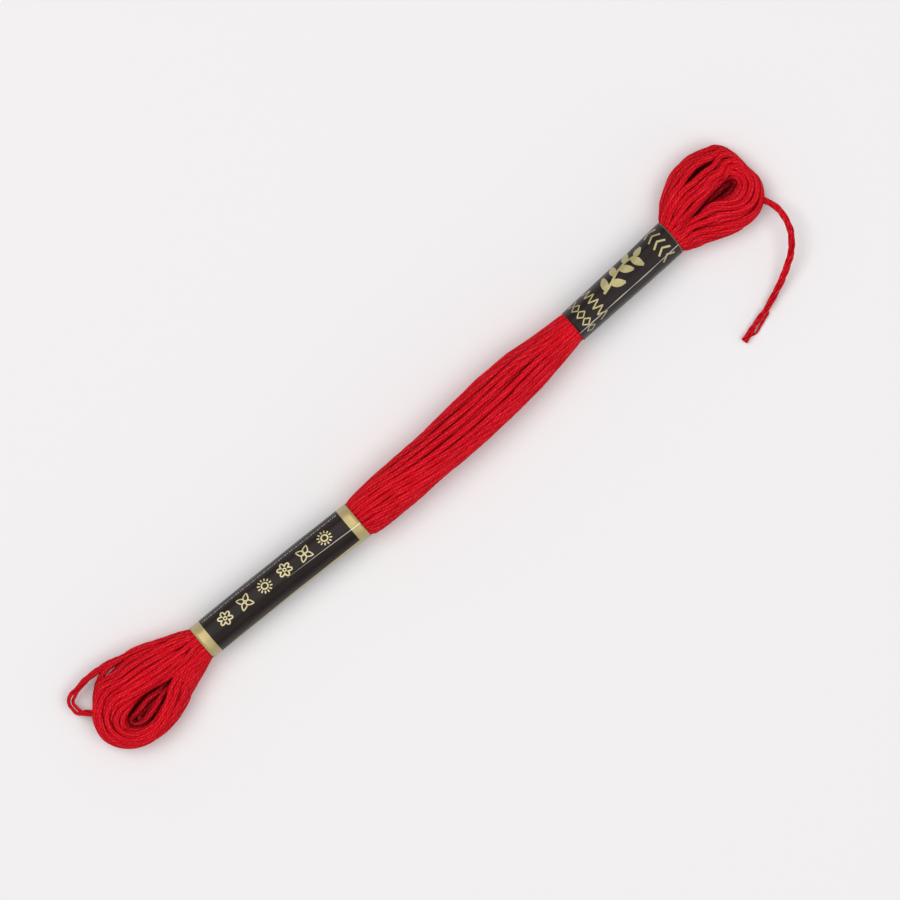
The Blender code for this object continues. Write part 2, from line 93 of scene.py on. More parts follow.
# x, left_y, right_y, meet_y, crest, side, seat: the turns fill the bands
STRAIGHT = (
    (-54.0, 2.2, -5.1, -2.2, 6.85, 3.6, 0.35),
    (-53.0, 1.85, -4.85, -2.2, 6.75, 3.6, 0.45),
    (-44.3, 1.75, -5.05, -2.3, 6.75, 3.6, 0.45),
    (-35.1, 1.55, -5.35, -2.3, 6.85, 3.6, 0.45),
    (-26.0, 1.35, -5.75, -2.3, 6.85, 3.6, 0.45),
    (-17.0, 1.05, -6.25, -2.3, 6.95, 3.6, 0.45),
    (-15.8, 1.35, -6.75, -2.3, 7.2, 3.7, 0.3),
    (-12.8, 1.7, -7.0, -2.4, 7.6, 3.8, 0.0),
    (-5.9, 2.0, -7.0, -2.6, 8.0, 3.9, 0.0),
    (1.5, 2.1, -6.8, -2.7, 8.1, 3.9, 0.0),
    (8.8, 2.7, -6.8, -2.6, 8.1, 3.9, 0.0),
    (16.1, 3.2, -6.5, -2.3, 8.1, 3.9, 0.0),
    (23.4, 3.3, -5.9, -1.9, 8.0, 3.9, 0.0),
    (29.8, 2.6, -4.9, -1.5, 7.8, 3.9, 0.1),
    (34.9, 2.3, -4.0, -1.0, 7.6, 3.9, 0.4),
    (36.2, 2.15, -3.85, -0.9, 7.35, 3.95, 0.65),
    (43.6, 2.55, -3.65, -0.7, 7.15, 3.85, 0.55),
    (51.8, 2.95, -3.45, -0.5, 6.85, 3.6, 0.35),
    (59.9, 3.5, -3.15, 0.0, 6.6, 3.4, 0.2),
)
SLACK_TURN = (
    (-64.0, 4.6, 3.2), (-65.5, 5.2, 3.2), (-67.6, 6.3, 3.2), (-69.9, 6.75, 3.1),
    (-71.9, 6.95, 2.9), (-74.4, 6.95, 2.6), (-76.3, 6.55, 2.4), (-78.0, 6.05, 2.2),
    (-78.75, 5.3, 2.1), (-78.8, 4.3, 2.1), (-78.65, 3.4, 2.2), (-77.95, 2.5, 2.5),
    (-77.0, 1.7, 2.9), (-75.9, 0.9, 3.2), (-74.8, 0.1, 3.4),
)
LOOSE_END = (
    (77.95, -6.2, 3.7), (78.5, -7.7, 4.1), (78.6, -9.5, 4.4), (78.3, -11.4, 4.5),
    (77.6, -13.2, 4.3), (76.4, -14.9, 3.9), (74.9, -16.4, 3.4), (72.4, -18.0, 2.6),
    (69.5, -19.5, 1.75), (66.0, -20.9, 1.0), (62.4, -22.0, 0.68), (58.6, -23.0, 0.66),
)
# x, left_y, right_y, top, bottom of the paper
LONG_BAND = (
    (-53.2, 2.0, -5.0, 6.9, 0.3),
    (-44.3, 1.9, -5.2, 6.9, 0.3),
    (-35.1, 1.7, -5.5, 7.0, 0.3),
    (-26.0, 1.5, -5.9, 7.0, 0.3),
    (-16.8, 1.2, -6.4, 7.1, 0.3),
)
SHORT_BAND = (
    (36.0, 2.3, -4.0, 7.5, 0.5),
    (43.6, 2.7, -3.8, 7.3, 0.4),
    (51.8, 3.1, -3.6, 7.0, 0.2),
    (60.1, 3.7, -3.3, 6.7, 0.05),
)
SQUARENESS = 2.25           # of a band's section: 2 is an ellipse
CREASE_H = 0.12             # height of the fold
CREASE_HALF_ANGLE = 14.0    # half its width, degrees
# table, degrees where the fold lies, counted from the left over the top, and how far
# the paper leans forward: x and x, mm per mm of height
LONG = (LONG_BAND, 96.0, ((0.0, 1.0), (0.0, 0.0)))
SHORT = (SHORT_BAND, 122.0, ((36.0, 60.1), (0.03, 0.11)))


# -------- small helpers
def smoothstep(low, high, value):
    share = np.clip((value - low) / (high - low), 0.0, 1.0)
    return share * share * (3 - 2 * share)


def blend(first, second, share):
    return first * (1 - share) + second * share


def unit(vectors):
    """The same directions with length 1."""
    return vectors / np.maximum(np.linalg.norm(vectors, axis=-1, keepdims=True), 1e-9)


def catmull(points, at, closed=False):
    """Catmull-Rom through rows of points, read at row numbers `at`."""
    points = np.asarray(points, dtype=float)
    count = len(points)
    index = np.floor(at).astype(int)
    share = (at - index)[:, None]

    def row(k):
        k = index + k
        return points[k % count] if closed else points[np.clip(k, 0, count - 1)]

    before, first, second, after = row(-1), row(0), row(1), row(2)
    return 0.5 * (2 * first + (second - before) * share
                  + (2 * before - 5 * first + 4 * second - after) * share ** 2
                  + (3 * first - before - 3 * second + after) * share ** 3)


def arc_length(line):
    return np.append(0.0, np.cumsum(np.linalg.norm(np.diff(line, axis=0), axis=1)))


def resample(line, spacing, closed=False):
    """Points every `spacing` along a line."""
    if closed:
        line = np.vstack((line, line[:1]))
    length = arc_length(line)
    count = max(int(round(length[-1] / spacing)), 4)
    at = np.linspace(0.0, length[-1], count + 1)
    if closed:
        at = at[:-1]
    return np.column_stack([np.interp(at, length, line[:, k]) for k in range(line.shape[1])])


def columns_at(table, x):
    """All columns of a table but its first, which is x, read at x."""
    rows = np.array(table)
    return [np.interp(x, rows[:, 0], rows[:, k]) for k in range(1, rows.shape[1])]


# -------- where the turns lie
def legs():
    """The tables as rows of out_x, out_y, in_x, in_y, crest, side, seat, foot, crown for
    the left and for the right leg.  On the straight part the foot is near the crest."""
    return [[row[k:k + 4] + row[8:] for row in SLACK_LOOP]
            + [(x, outline[k // 4], x, meet_y, crest, side, seat, crest - 0.4, 0.03)
               for x, *outline, meet_y, crest, side, seat in STRAIGHT]
            + [row[k:k + 4] + row[8:] for row in reversed(LOOSE_END_LOOP)] for k in (0, 4)]


def stations():
    """Sections of the skein, up the left leg and down the right one, about SPACING apart
    along the middle of a leg."""
    left, right = legs()
    rows = np.array(left + right[-2:0:-1])
    middle = (rows[:, 0:2] + rows[:, 2:4]) / 2
    at = []
    for k, (here, there) in enumerate(zip(middle, np.roll(middle, -1, axis=0))):
        count = max(int(np.linalg.norm(there - here) / SPACING), 2)
        at.extend(k + np.arange(count) / count)
    return catmull(rows, np.array(at), closed=True)


EYE_STEEPER = (0.5, 1.2)    # share off the crown, and mm on the foot, at a steep edge


def eye_steepness(x, on_left):
    """1 where the edge of the eye is steep: beside the slack loop's left leg, and at the
    far end of the loose end's loop."""
    if x < 0:
        return (1.0 if on_left else 0.25) * (1 - smoothstep(-62.0, -56.0, x))
    return smoothstep(63.0, 67.0, x)


def section_path(row, steepness):
    """Outline of one leg, from its inner edge along the underside, round the outline
    over the crest and down its wall at the eye: points (along, height), outward
    normals, arc lengths, the arc length where the wall begins, and the width."""
    out_x, out_y, in_x, in_y, crest, side, seat, foot, crown = row
    crown *= 1 - EYE_STEEPER[0] * steepness
    foot += EYE_STEEPER[1] * steepness
    width = math.hypot(out_x - in_x, out_y - in_y)
    corner = min(0.7 * width, side - seat)
    turn = np.radians(np.linspace(0.0, 90.0, 25))[1:]
    sin, cos = np.sin(turn), np.cos(turn)
    flat = np.linspace(0.0, width - corner, 8)
    wall = np.linspace(foot, seat, 8)[1:]
    along = np.concatenate((flat, width - corner * (1 - sin), width * (crown + (1 - crown) * cos),
                            width * crown * (1 - sin), np.zeros(len(wall))))
    height = np.concatenate((np.full(8, seat), side - (side - seat) * cos,
                             side + (crest - side) * sin, foot + (crest - foot) * cos, wall))
    path = np.column_stack((along, height))
    tangent = unit(np.gradient(path, axis=0))
    normal = np.column_stack((tangent[:, 1], -tangent[:, 0]))
    arc = arc_length(path)
    return path, normal, arc, arc[-len(wall) - 1], width


def straightness(x):
    """0 in the loops, 1 on the straight part and under the bands."""
    return smoothstep(-64.0, -54.5, x) * (1 - smoothstep(61.5, 70.0, x))


def floss_radius(x, pressed=PRESSED_R):
    """pressed is the radius on the straight part, which differs from turn to turn."""
    radius = LOOSE_R + (pressed - LOOSE_R) * straightness(x)
    gripped = GRIPPED_R + 0.4 * (pressed - HIDDEN_R)
    for band in (LONG_BAND, SHORT_BAND):
        start, end = band[0][0], band[-1][0]
        inside = smoothstep(start - 3.5, start + 1.0, x) * (1 - smoothstep(end - 1.0, end + 3.5, x))
        radius = radius + (gripped - radius) * inside
    return radius


def slow_noise(length, waves, amplitude):
    """A smooth random value along a closed line, the same at both ends."""
    value = np.zeros(len(length))
    for wave in waves:
        turns = int(round(length[-1] / wave))
        value += np.sin(2 * np.pi * (turns * length / length[-1] + RANDOM.random())) / len(waves)
    return amplitude * value


SHELL_TURNS = 16                    # turns on the outside of the legs
DIVING = (1, 4, 7, 9, 12, 14)       # those that go under the others where the skein narrows
WALL_TURNS = 3                      # turns on the wall of the eye
WANDER = ((19, 37, 61), 0.38)       # lengths and size of the waves of a turn's way, mm
SINK = ((17, 31, 47), 0.14)         # the same for its depth
# where turns slant from the crest to the outline: on the left leg, from x, to x, mm
LOOP_SLANTS = (
    (True, -68.0, -78.0, 2.6),
    (False, -62.0, -78.0, 2.6),
    (True, 75.2, 79.7, 3.8),
    (False, 62.0, 78.0, 3.8),
)
# turns that lie in the eyes, and inside the skein on its straight part.  In the slack
# loop and in the loose end's loop: how far they reach into the eye from the edge of a
# leg, at the left, the tip and the right, and their height.  On the straight part: their
# place as shares of the leg's width and height
FLOOR_TURNS = (
    ((1.2, -0.4, 1.1, 1.9), (0.7, -0.5, -0.6, 0.8), 0.35, 0.30),
    ((0.2, 0.2, 0.2, 0.6), (-1.3, -1.2, -1.3, 0.6), 0.60, 0.30),
    ((-0.6, -0.3, -0.6, 0.6), (-0.6, -0.7, -0.6, 0.6), 0.30, 0.50),
    ((1.9, 1.9, 1.9, 0.6), (0.9, 0.5, 0.9, 0.6), 0.45, 0.40),
    ((-1.9, -1.2, -0.8, 1.6), (-1.8, -1.4, -1.7, 1.6), 0.55, 0.55),
)
# where the turns part: on the left leg, before this turn, from x, to x, width, share of
# it that is opened towards the eye
PARTINGS = (
    (True, 11, -78.0, -55.0, 0.7, 0.5),
    (True, 9, -76.0, -58.0, 0.25, 0.5),
    (True, 11, 67.6, 77.2, 2.5, 0.22),
    (True, 12, 74.5, 79.6, 1.35, 0.6),
    (False, 13, 69.0, 78.0, 0.7, 0.5),
    (False, 10, -17.0, 3.0, 0.7, 0.5),
    (True, 11, 1.0, 13.0, 0.5, 0.5),
    (True, 14, 9.0, 33.0, 0.5, 0.5),
)
# a turn of the slack loop's left leg stands off the others: turn, from x, to x, how far
# the others keep in and how far the turn goes out, mm
STANDING_OFF = (8, -74.2, -64.4, 1.45, 0.1)


def swell(x, start, end):
    """A half wave that is 1 in the middle, and 0 outside start and end."""
    return math.sin(math.pi * (x - start) / (end - start)) if start < x < end else 0.0


def parted(arc, edges, x, on_left):
    """Moves the places `arc` apart at the partings; edges are unparted turn borders."""
    for left, turn, start, end, width, eye_share in PARTINGS:
        open_by = width * swell(x, start, end) * (left == on_left)
        off = arc - edges[turn]
        moved = np.where(off > 0, eye_share, eye_share - 1.0)
        arc = arc + moved * open_by * np.exp(-np.abs(off) / 3.0)
    return arc


def standing_off(x, on_left):
    """How far the other turns keep in and the turn that stands off goes out."""
    _, start, end, inwards, outwards = STANDING_OFF
    share = swell(x, start, end) ** 2 * on_left
    return inwards * share, outwards * share


def lay_turns():
    """First guess of every closed turn: lines of x, y, z, the outward direction there,
    how far the turn may move that way, the direction to the outline seen from above
    and how far the turn may move that way, in table millimetres."""
    rows = stations()
    middle = (rows[:, 0:2] + rows[:, 2:4]) / 2
    length = arc_length(np.vstack((middle, middle[:1])))
    far = int(np.argmax(rows[:, 0]))
    return shell_turns(rows, length[:-1], far) + floor_turns(rows, length, far)


def shell_turns(rows, length, far):
    """The turns on the outside of the legs and on the walls of the eyes."""
    count = SHELL_TURNS + WALL_TURNS
    x = rows[:, 0]
    is_left = np.arange(len(rows)) <= far
    slant = sum((is_left == left) * mm * smoothstep(start, end, x)
                for left, start, end, mm in LOOP_SLANTS)
    wander = np.array([slow_noise(length, *WANDER) for _ in range(count)])
    sink = np.array([slow_noise(length, *SINK) for _ in range(count)])
    diving = np.isin(np.arange(SHELL_TURNS), DIVING)
    loose_share = (np.arange(SHELL_TURNS) + 0.5) / SHELL_TURNS
    rank = np.cumsum(~diving) - 1
    tight_share = (rank + np.where(diving, 1.0, 0.5)) / np.sum(~diving)
    shell = np.zeros((count, len(rows), 10))
    for n, (row, on_left, straight, radius) in enumerate(
            zip(rows, is_left, straightness(x), floss_radius(x))):
        path, normal, arc, wall, width = section_path(row, eye_steepness(row[0], on_left))
        outward = (row[0:2] - row[2:4]) / width
        tight = smoothstep(1.0, 1.28, SHELL_TURNS * 2 * radius / wall)
        share = blend(loose_share, tight_share, tight)
        edges = np.arange(SHELL_TURNS + 1) / SHELL_TURNS * wall
        at = parted(share * wall, edges, row[0], on_left)
        on_wall = wall + (np.arange(WALL_TURNS) + 0.5) / WALL_TURNS * (arc[-1] - wall)
        at = np.concatenate((at, on_wall)) + wander[:, n] - slant[n]
        at %= arc[-1]
        depth = np.append(diving * tight * 1.05, np.full(WALL_TURNS, 0.1 + 0.9 * straight))
        depth = depth + np.maximum(sink[:, n], 0.0)
        across = [np.interp(at, arc, normal[:, k]) for k in (0, 1)]
        along, height = [np.interp(at, arc, path[:, k]) - (radius + depth) * across[k]
                         for k in (0, 1)]
        inwards, outwards = standing_off(row[0], on_left)
        edge = np.full(count, width - inwards)
        edge[STANDING_OFF[0]] = width + outwards
        along -= inwards * (along / width) ** 2 * (edge < width)
        along[STANDING_OFF[0]] += outwards
        shell[:, n, 0:2] = row[2:4] + outward * along[:, None]
        shell[:, n, 2] = height
        shell[:, n, 3:5] = outward * across[0][:, None]
        shell[:, n, 5] = across[1]
        shell[:, n, 6] = 0.04 + depth * (1 - straight) + 3.0 * straight
        shell[:, n, 7:9] = outward
        shell[:, n, 9] = np.maximum(edge - along - radius, 0.0)
    return list(shell)


def floor_turns(rows, length, far):
    """The turns of FLOOR_TURNS, which only the table and the outline hold."""
    x = rows[:, 0]
    floor = np.zeros((len(FLOOR_TURNS), len(rows), 10))
    for n, (row, straight, radius) in enumerate(zip(rows, straightness(x), floss_radius(x))):
        width = math.hypot(row[0] - row[2], row[1] - row[3])
        outward = (row[0:2] - row[2:4]) / width
        side = 1 if length[n] < length[far] else -1
        from_tip = min(length[n], abs(length[n] - length[far]), length[-1] - length[n])
        at_tip = math.exp(-(from_tip / 3.5) ** 2)
        lean = side * (1 - math.exp(-from_tip / 2.5))
        half_eye = abs(row[3] - rows[-n % len(rows), 3]) / 2
        for k, (slack_loop, other_loop, across, up) in enumerate(FLOOR_TURNS):
            left, tip, right, height = other_loop if row[0] > 0 else slack_loop
            reach = (left + right) / 2 + lean * (left - right) / 2
            reach = blend(reach, tip, at_tip)
            if from_tip > 4.0 and left > 0 and right > 0:
                reach = min(reach, half_eye - 0.5)
            loop_place = row[2:4] - outward * reach
            straight_place = row[2:4] + outward * width * across
            straight_height = row[6] + up * (row[4] - row[6])
            floor[k, n, 0:2] = blend(loop_place, straight_place, straight)
            floor[k, n, 2] = blend(height, straight_height, straight)
            floor[k, n, 6] = 9.0
            floor[k, n, 7:9] = outward
            floor[k, n, 9] = max(width + reach - radius, 0.0)
    return list(floor)


def bundle_ellipse(x):
    """Middle and half sizes of the skein at x, on the straight part and close to it."""
    outline = [(a[0], a[1], b[1], a[4], a[6]) for a, b in zip(*legs())]
    # without the 7 and the 8 sections that are nearest to the tips
    left, right, crest, seat = columns_at(outline[7:-8], x)
    return (left + right) / 2, (crest + seat) / 2, (left - right) / 2, (crest - seat) / 2


def twist_bundle(line):
    """Turns the legs round each other between the bands, and back under the short one."""
    x = line[:, 0]
    angle = np.radians(BUNDLE_TWIST) * (smoothstep(-22.0, 14.0, x) - smoothstep(38.0, 58.0, x))
    y0, z0, a, b = bundle_ellipse(x)
    y, z = (line[:, 1] - y0) / a, (line[:, 2] - z0) / b
    line[:, 1] = y0 + a * (y * np.cos(angle) - z * np.sin(angle))
    line[:, 2] = z0 + b * (y * np.sin(angle) + z * np.cos(angle))
    return line


def near_pairs(points, reach):
    """All pairs of points closer than reach, by sorting them into cells."""
    cell = np.floor(points / reach).astype(np.int64)
    cell -= cell.min(axis=0) - 1
    size = cell.max(axis=0) + 2
    key = (cell[:, 0] * size[1] + cell[:, 1]) * size[2] + cell[:, 2]
    order = np.argsort(key, kind="stable")
    key = key[order]
    offsets = [(dx * size[1] + dy) * size[2] + dz
               for dx in (0, 1) for dy in (-1, 0, 1) for dz in (-1, 0, 1)]
    pairs = []
    for offset in offsets[offsets.index(0):]:
        low, high = [np.searchsorted(key, key + offset, side) for side in ("left", "right")]
        many = high - low
        i = np.repeat(np.arange(len(key)), many)
        j = np.arange(many.sum()) + np.repeat(low - (np.cumsum(many) - many), many)
        pairs.append((order[i[i < j]], order[j[i < j]]))
    first, second = np.hstack(pairs)
    close = np.sum((points[first] - points[second]) ** 2, axis=1) < reach ** 2
    return first[close], second[close]


PRESSING = (0.96, 0.90)     # how near flosses come, in the loops and on the straight part
ROUNDS = 90                 # of the solver
PUSH = 1.3                  # how strongly overlaps are pushed apart
HOLD = 0.985                # share of its way from home that a point keeps each round
EASE = 0.3                  # pull of each neighbour on a point's way from home


def pressed_radii():
    """Radius on the straight part of every turn: shell, wall and floor turns."""
    shell = [HIDDEN_R if k in DIVING else SURFACE_R for k in range(SHELL_TURNS)]
    return np.array(shell + [HIDDEN_R] * (WALL_TURNS + len(FLOOR_TURNS)))


def settle(turns):
    """Push the turns apart until they only touch, and let them rest on the table."""
    turns = [resample(line, SPACING, closed=True) for line in turns]
    sizes = [len(line) for line in turns]
    start = np.cumsum([0] + sizes)
    everything = np.vstack(turns)
    points, outward, limit = everything[:, 0:3], unit(everything[:, 3:6]), everything[:, 6]
    sideways, margin = everything[:, 7:9], everything[:, 9]
    turn = np.repeat(np.arange(len(turns)), sizes)
    spot = np.concatenate([np.arange(n) for n in sizes])
    size_of = np.repeat(sizes, sizes)
    before, after = [np.concatenate([np.roll(np.arange(first, last), by) for first, last
                                     in zip(start, start[1:])]) for by in (1, -1)]
    home = points.copy()
    radius = floss_radius(points[:, 0], pressed_radii()[turn])
    for step in range(ROUNDS):
        if step % 4 == 0:
            i, j = near_pairs(points, 2 * LOOSE_R + 0.25)
            gap = np.abs(spot[i] - spot[j])
            gap = np.minimum(gap, size_of[i] - gap)
            keep = (turn[i] != turn[j]) | (gap > 5)
            i, j = i[keep], j[keep]
        away = points[j] - points[i]
        distance = np.maximum(np.linalg.norm(away, axis=1), 1e-6)
        apart = PRESSING[0] + (PRESSING[1] - PRESSING[0]) * straightness(points[i, 0])
        overlap = np.maximum(apart * (radius[i] + radius[j]) - distance, 0.0)
        push = away * (0.5 * overlap / distance)[:, None]
        count = len(points)
        move = np.column_stack([np.bincount(j, one, count) - np.bincount(i, one, count)
                                for one in push.T])
        touching = np.bincount(i, overlap > 0, count) + np.bincount(j, overlap > 0, count)
        points = points + PUSH * move / np.maximum(touching, 1)[:, None]
        shift = (points - home) * HOLD
        for _ in range(2):
            shift += EASE * (shift[before] + shift[after] - 2 * shift)
        out = np.sum(shift * outward, axis=1)
        shift -= outward * np.maximum(out - limit, 0.0)[:, None]
        out = np.sum(shift[:, 0:2] * sideways, axis=1)
        shift[:, 0:2] -= sideways * np.maximum(out - margin, 0.0)[:, None]
        points = home + shift
        points[:, 2] = np.maximum(points[:, 2], radius)
        keep_in_bundle(points, radius)
        keep_in_bands(points, radius)
    return np.split(points, start[1:-1])


def keep_in_bundle(points, radius):
    """Between and beside the bands the turns stay inside the skein's own outline."""
    inside = (points[:, 0] > -61.0) & (points[:, 0] < 65.0)
    y0, z0, a, b = bundle_ellipse(points[inside, 0])
    pull_in(points, inside, y0, z0, a - radius[inside], b - radius[inside], 2.4)


def keep_in_bands(points, radius):
    """Under the bands they stay clear of the paper."""
    for table in (LONG_BAND, SHORT_BAND):
        inside = (points[:, 0] > table[0][0] - 0.6) & (points[:, 0] < table[-1][0] + 0.6)
        left, right, top, bottom = columns_at(table, points[inside, 0])
        room = radius[inside] + PAPER + 0.02
        pull_in(points, inside, (left + right) / 2, (top + bottom) / 2,
                (left - right) / 2 - room, (top - bottom) / 2 - room, SQUARENESS)


def pull_in(points, inside, y0, z0, a, b, power):
    """Brings points outside a rounded section straight in to its edge."""
    y, z = points[inside, 1] - y0, points[inside, 2] - z0
    far = (np.abs(y / a) ** power + np.abs(z / b) ** power) ** (1 / power)
    scale = 1 / np.maximum(far, 1.0)
    points[inside, 1] = y0 + y * scale
    points[inside, 2] = z0 + z * scale


# -------- tubes
def frames_along(line):
    """Tangents and two crosswise directions that turn as little as they can."""
    tangent = unit(np.gradient(line, axis=0))
    side = np.zeros_like(line)
    across = np.cross(tangent[0], (0.0, 0.0, 1.0))
    for k in range(len(line)):
        across = across - tangent[k] * np.dot(across, tangent[k]) if k else across
        across = across / np.linalg.norm(across)
        side[k] = across
    return tangent, side, np.cross(tangent, side)


class TubeMesh:
    """Collects tubes with a lobed section into one mesh with a UV map."""

    def __init__(self):
        self.verts, self.faces, self.uvs, self.count = [], [], [], 0

    def add(self, line, radius, around, lobes, pitch, phase):
        """radius is one value per point.  uv is (number of the tube + share of the way
        round it, millimetres / 10)."""
        _, side, up = frames_along(line)
        length = arc_length(line)
        angle = 2 * np.pi * np.arange(around) / around
        shape = 1 - LOBE_DEPTH * (1 - np.abs(np.sin(lobes * angle / 2)) ** 0.8)
        turn = angle + (phase + 2 * np.pi * length / pitch)[:, None]
        reach = radius[:, None] * shape
        ring = (line[:, None] + (reach * np.cos(turn))[:, :, None] * side[:, None]
                + (reach * np.sin(turn))[:, :, None] * up[:, None])
        k = np.arange(len(line) - 1)[:, None] * around
        a = np.arange(around)[None, :]
        b = (a + 1) % around
        quads = np.stack((k + a, k + b, k + around + b, k + around + a), axis=-1)
        self.faces.append(quads.reshape(-1, 4) + self.count)
        uv = np.zeros((*quads.shape, 2))
        uv[..., 0] = (a / around + len(self.verts))[:, :, None]
        uv[:, :, 1:3, 0] += 1 / around
        uv[:, :, 0:2, 1] = (length[:-1] / 10)[:, None, None]
        uv[:, :, 2:4, 1] = (length[1:] / 10)[:, None, None]
        self.uvs.append(uv.reshape(-1, 2))
        self.verts.append(ring.reshape(-1, 3))
        self.count += len(line) * around

    def build(self, name, material):
        mesh = bpy.data.meshes.new(name)
        verts = (np.vstack(self.verts) + SHIFT) * MM
        mesh.from_pydata(verts.tolist(), [], np.vstack(self.faces).tolist(), shade_flat=False)
        layer = mesh.uv_layers.new(name="strand")
        layer.data.foreach_set("uv", np.vstack(self.uvs).ravel())
        mesh.materials.append(material)
        return link(name, mesh)


def link(name, data):
    obj = bpy.data.objects.new(name, data)
    bpy.context.scene.collection.objects.link(obj)
    return obj


# -------- materials
FLOSS_DEEP = (0.47, 0.0002, 0.0034, 1)
FLOSS_BRIGHT = (0.81, 0.0008, 0.010, 1)
FLOSS_SHADED = (0.23, 0.0002, 0.002, 1)
FLOSS_LIT = (1.0, 0.085, 0.13, 1)


class Nodes:
    """A new material, and short ways to add to its nodes."""

    def __init__(self, name):
        self.material = bpy.data.materials.new(name)
        self.material.use_nodes = True
        self.tree = self.material.node_tree

    def put(self, socket, value):
        """value is a number, a colour, or the output of another node."""
        if hasattr(value, "links"):
            self.tree.links.new(value, socket)
        else:
            socket.default_value = value

    def node(self, kind, **settings):
        made = self.tree.nodes.new(kind)
        for key, value in settings.items():
            if key in made.inputs:
                self.put(made.inputs[key], value)
            else:
                setattr(made, key, value)
        return made

    def maths(self, operation, *values):
        made = self.node("ShaderNodeMath", operation=operation)
        for socket, value in zip(made.inputs, values):
            self.put(socket, value)
        return made.outputs[0]

    def times(self, a, b):
        return self.maths("MULTIPLY", a, b)

    def plus(self, a, b):
        return self.maths("ADD", a, b)

    def noise(self, scale, detail, vector):
        return self.node("ShaderNodeTexNoise", Scale=scale, Detail=detail, Vector=vector).outputs[0]

    def mix(self, share, a, b):
        """Sockets 6 and 7 of this node are its colours A and B, output 2 is their mix."""
        made = self.node("ShaderNodeMix", data_type="RGBA", Factor=share)
        self.put(made.inputs[6], a)
        self.put(made.inputs[7], b)
        return made.outputs[2]

    def bump(self, strength, distance, height):
        made = self.node("ShaderNodeBump", Strength=strength, Distance=distance, Height=height)
        return made.outputs[0]

    def shade(self, inputs):
        """Sets the inputs of the shader and returns the material."""
        shader = self.tree.nodes["Principled BSDF"]
        for key, value in inputs.items():
            self.put(shader.inputs[key], value)
        return self.material


def floss_material(name, lobes, shelter, shade_strength):
    """Dyed cotton: six plied strands, each with its own fine twist.  Where other floss
    is nearer than shelter metres, painted shade darkens the colour, as the last argument sets."""
    nodes = Nodes(name)
    node, maths, times, plus, mix = nodes.node, nodes.maths, nodes.times, nodes.plus, nodes.mix
    uv = node("ShaderNodeUVMap", uv_map="strand").outputs[0]
    around, along = node("ShaderNodeSeparateXYZ", Vector=uv).outputs[0:2]
    where = node("ShaderNodeTexCoord").outputs["Object"]
    # fibres run along the strand, so this noise is long that way and fine round it
    lengthwise = node("ShaderNodeCombineXYZ", X=times(around, 1.6 * lobes), Y=times(along, 2.2))
    streak = nodes.noise(1.0, 3.0, lengthwise.outputs[0])
    blotch = nodes.noise(240.0, 3.0, where)
    uneven = nodes.noise(2400.0, 2.0, where)
    fibre = nodes.noise(5200.0, 2.0, where)
    # the slanting marks of the two yarns in every strand, a little irregular
    slant = plus(times(around, float(lobes)), times(along, 11.0))
    slant = plus(slant, times(uneven, 1.6))
    ply = maths("SINE", times(slant, 2 * math.pi))
    groove = maths("ABSOLUTE", maths("SINE", times(around, math.pi * lobes)))
    number = maths("FLOOR", plus(around, 0.0001))
    own = node("ShaderNodeTexWhiteNoise", noise_dimensions="1D", W=number).outputs[0]
    shade = plus(plus(times(blotch, 0.8), times(own, 0.5)), plus(times(streak, 0.8), -0.85))
    shade = plus(shade, times(uneven, 0.6))
    base = mix(shade, FLOSS_DEEP, FLOSS_BRIGHT)
    # painted shade: the colour darkens in the grooves between the strands and between the two yarns
    # of each strand
    groove_shade = times(maths("POWER", maths("SUBTRACT", 1.0, groove), 1.5), 0.5)
    between = times(maths("MAXIMUM", times(ply, -1.0), 0.0), 0.10)
    # painted shade: the colour darkens where other floss lies close, by ambient occlusion
    opening = node("ShaderNodeAmbientOcclusion", samples=8, Distance=shelter).outputs["AO"]
    crevice_shade = times(maths("POWER", maths("SUBTRACT", 1.0, opening), 2.4), shade_strength)
    base = mix(plus(plus(groove_shade, between), crevice_shade), base, FLOSS_SHADED)
    # painted highlight: the crests of the plies are mixed towards the paler FLOSS_LIT
    crest = times(plus(times(ply, 0.5), 0.5), groove)
    light = times(times(crest, fibre), plus(times(streak, 2.0), -0.45))
    base = mix(light, base, FLOSS_LIT)
    height = plus(plus(times(ply, 0.18), times(fibre, 0.9)), times(streak, 0.8))
    return nodes.shade({"Base Color": base, "Roughness": 0.5, "Specular IOR Level": 0.035,
                        "Sheen Weight": 0.02, "Sheen Roughness": 0.4,
                        "Sheen Tint": (1.0, 0.12, 0.16, 1),
                        "Normal": nodes.bump(0.5, 0.0001, height)})


def paper_material(name, colour, roughness, metallic, specular, reflection_colour, patchy):
    """Printed paper with a satin face and fine fibres.  The colour given for the sides of a
    band is a painted reflection there; patchy is the unevenness of the print."""
    nodes = Nodes(name)
    node, maths, times, plus, mix = nodes.node, nodes.maths, nodes.times, nodes.plus, nodes.mix
    where = node("ShaderNodeTexCoord").outputs
    fibre = nodes.noise(3000.0, 4.0, where["Object"])
    cloud = nodes.noise(260.0, 3.0, where["Object"])
    darker = tuple(c * 0.8 for c in colour)
    lighter = tuple(min(1.0, c * 1.35 + 0.004) for c in colour)
    share = plus(plus(times(cloud, patchy), times(fibre, 0.5)), 0.25 - patchy / 2)
    base = mix(share, (*darker, 1), (*lighter, 1))
    # painted reflection: where the paper faces sideways, its colour is mixed towards the lighter
    # side colour
    sideways = maths("ABSOLUTE", node("ShaderNodeSeparateXYZ", Vector=where["Normal"]).outputs[1])
    side_reflection = times(maths("MAXIMUM", maths("SUBTRACT", sideways, 0.45), 0.0), 1.8)
    return nodes.shade({"Base Color": mix(side_reflection, base, (*reflection_colour, 1)),
                        "Roughness": plus(times(fibre, 0.16), roughness - 0.08),
                        "Metallic": metallic, "Specular IOR Level": specular,
                        "Normal": nodes.bump(0.25, 0.00004, share)})


# -------- the wound floss
SEAM = (-35.0, -2.2)        # every closed turn begins at this x, where y is above this


